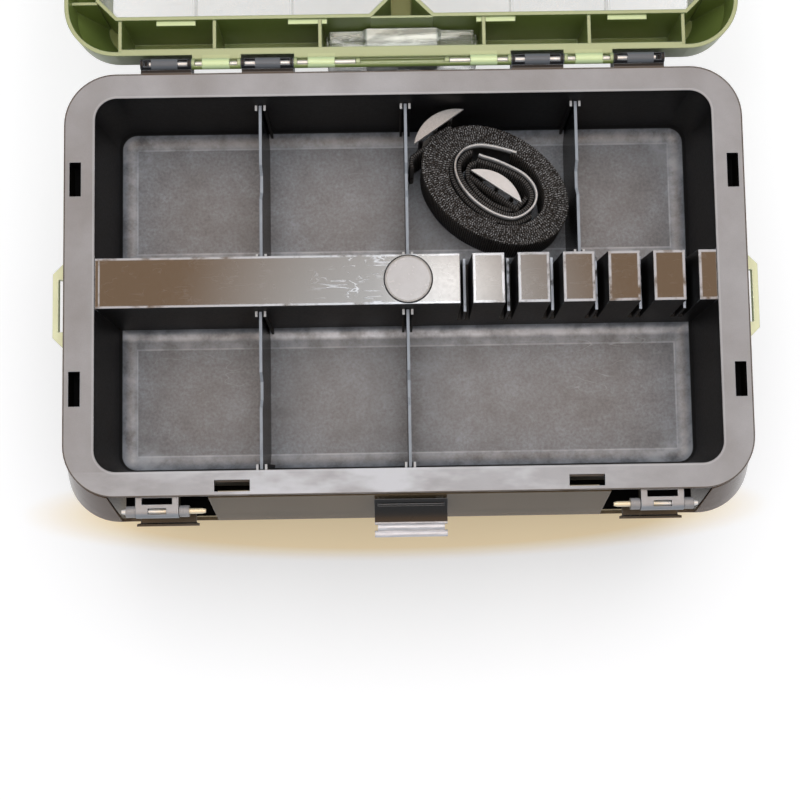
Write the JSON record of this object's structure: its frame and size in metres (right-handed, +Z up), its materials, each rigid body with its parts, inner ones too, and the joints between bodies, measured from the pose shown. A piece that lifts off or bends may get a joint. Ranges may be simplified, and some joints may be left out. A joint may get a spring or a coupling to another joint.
{
  "type": "fishing tackle cabinet",
  "caption": "Rectangular tackle cabinet with a divided top bin, a flip-back lid with clear bays, a smoked drop-down front door and side strap loops.",
  "frame": {"origin": "centre of the base's underside, on the floor", "axes": "+X to the right, +Y to the rear (the lid lies open that way), +Z up"},
  "size_m": [0.53, 0.6767, 0.274],
  "materials": {
    "body_black": "gloss",
    "clear_plastic": "clear",
    "green_plastic": "gloss",
    "smoked_plastic": "clear",
    "bright_steel": "polished",
    "webbing": "woven",
    "grey_plastic": "matte"
  },
  "bodies": {
    "cabinet": {"storage_bin": "body_black", "beam_plug": "body_black", "cabinet_shell": "body_black", "utility_box_1": "clear_plastic", "utility_box_2": "clear_plastic", "utility_box_3": "clear_plastic", "utility_lid_1": "clear_plastic", "utility_lid_2": "clear_plastic", "utility_lid_3": "clear_plastic", "strap_loop_right": "green_plastic", "strap_loop_left": "green_plastic", "side_jamb_right": "body_black", "side_jamb_left": "body_black", "runner_right_1": "body_black", "runner_right_2": "body_black", "runner_right_3": "body_black", "runner_left_1": "body_black", "runner_left_2": "body_black", "runner_left_3": "body_black", "latch_bracket_left": "body_black", "latch_bracket_right": "body_black", "door_pin_right": "bright_steel", "door_pin_left": "bright_steel", "latch_rod_left": "bright_steel", "latch_rod_right": "bright_steel", "hinge_rod_left": "bright_steel", "hinge_rod_right": "bright_steel"},
    "lid": {"lid_shell": "green_plastic", "lid_tray_left": "clear_plastic", "lid_tray_right": "clear_plastic", "window_pin_left": "bright_steel", "window_pin_right": "bright_steel", "handle_pin_left": "bright_steel", "handle_pin_right": "bright_steel"},
    "window_left": {"lid_window_left": "clear_plastic"},
    "window_right": {"lid_window_right": "clear_plastic"},
    "handle": {"carry_handle": "body_black"},
    "door": {"front_door": "smoked_plastic", "pull_pin": "bright_steel"},
    "pull": {"door_pull": "body_black"},
    "latch_left": {"latch_lever_left": "body_black"},
    "latch_right": {"latch_lever_right": "body_black"},
    "strap": {"strap_coil": "webbing", "pad_strip": "grey_plastic", "buckle_outer": "grey_plastic", "buckle_inner": "grey_plastic"},
    "divider_rear_1": {"divider_rear_1": "clear_plastic"},
    "divider_rear_2": {"divider_rear_2": "clear_plastic"},
    "divider_rear_3": {"divider_rear_3": "clear_plastic"},
    "divider_front_1": {"divider_front_1": "clear_plastic"},
    "divider_front_2": {"divider_front_2": "clear_plastic"}
  },
  "joints": [
    {"name": "lid_hinge", "type": "hinge", "parent": "cabinet", "child": "lid", "pos_m": [0, 0.163, 0.27], "axis": [-1, 0, 0], "range_deg": [-180, 0]},
    {"name": "door_hinge", "type": "hinge", "parent": "cabinet", "child": "door", "pos_m": [0, -0.158, 0.026], "axis": [1, 0, 0], "range_deg": [0, 85]},
    {"name": "pull_pivot", "type": "hinge", "parent": "door", "child": "pull", "pos_m": [0, -0.173, 0.228], "axis": [1, 0, 0], "range_deg": [0, 14], "stiffness_Nm_per_rad": 0.3},
    {"name": "latch_left_pivot", "type": "hinge", "parent": "cabinet", "child": "latch_left", "pos_m": [-0.1823, -0.1663, 0.2618], "axis": [1, 0, 0], "range_deg": [-180, 0]},
    {"name": "latch_right_pivot", "type": "hinge", "parent": "cabinet", "child": "latch_right", "pos_m": [0.1823, -0.1663, 0.2618], "axis": [1, 0, 0], "range_deg": [-180, 0]},
    {"name": "window_left_hinge", "type": "hinge", "parent": "lid", "child": "window_left", "pos_m": [-0.12, 0.196, 0.2049], "axis": [-1, 0, 0], "range_deg": [0, 100]},
    {"name": "window_right_hinge", "type": "hinge", "parent": "lid", "child": "window_right", "pos_m": [0.12, 0.196, 0.2049], "axis": [-1, 0, 0], "range_deg": [0, 100]},
    {"name": "handle_pivot", "type": "hinge", "parent": "lid", "child": "handle", "pos_m": [0, 0.345, 0.2158], "axis": [-1, 0, 0], "range_deg": [0, 90]},
    {"name": "strap_lift", "type": "slide", "parent": "cabinet", "child": "strap", "axis": [0, 0, 1], "range_m": [0, 0.1]},
    {"name": "divider_rear_1_lift", "type": "slide", "parent": "cabinet", "child": "divider_rear_1", "axis": [0, 0, 1], "range_m": [0, 0.085]},
    {"name": "divider_rear_2_lift", "type": "slide", "parent": "cabinet", "child": "divider_rear_2", "axis": [0, 0, 1], "range_m": [0, 0.085]},
    {"name": "divider_rear_3_lift", "type": "slide", "parent": "cabinet", "child": "divider_rear_3", "axis": [0, 0, 1], "range_m": [0, 0.085]},
    {"name": "divider_front_1_lift", "type": "slide", "parent": "cabinet", "child": "divider_front_1", "axis": [0, 0, 1], "range_m": [0, 0.085]},
    {"name": "divider_front_2_lift", "type": "slide", "parent": "cabinet", "child": "divider_front_2", "axis": [0, 0, 1], "range_m": [0, 0.085]}
  ]
}
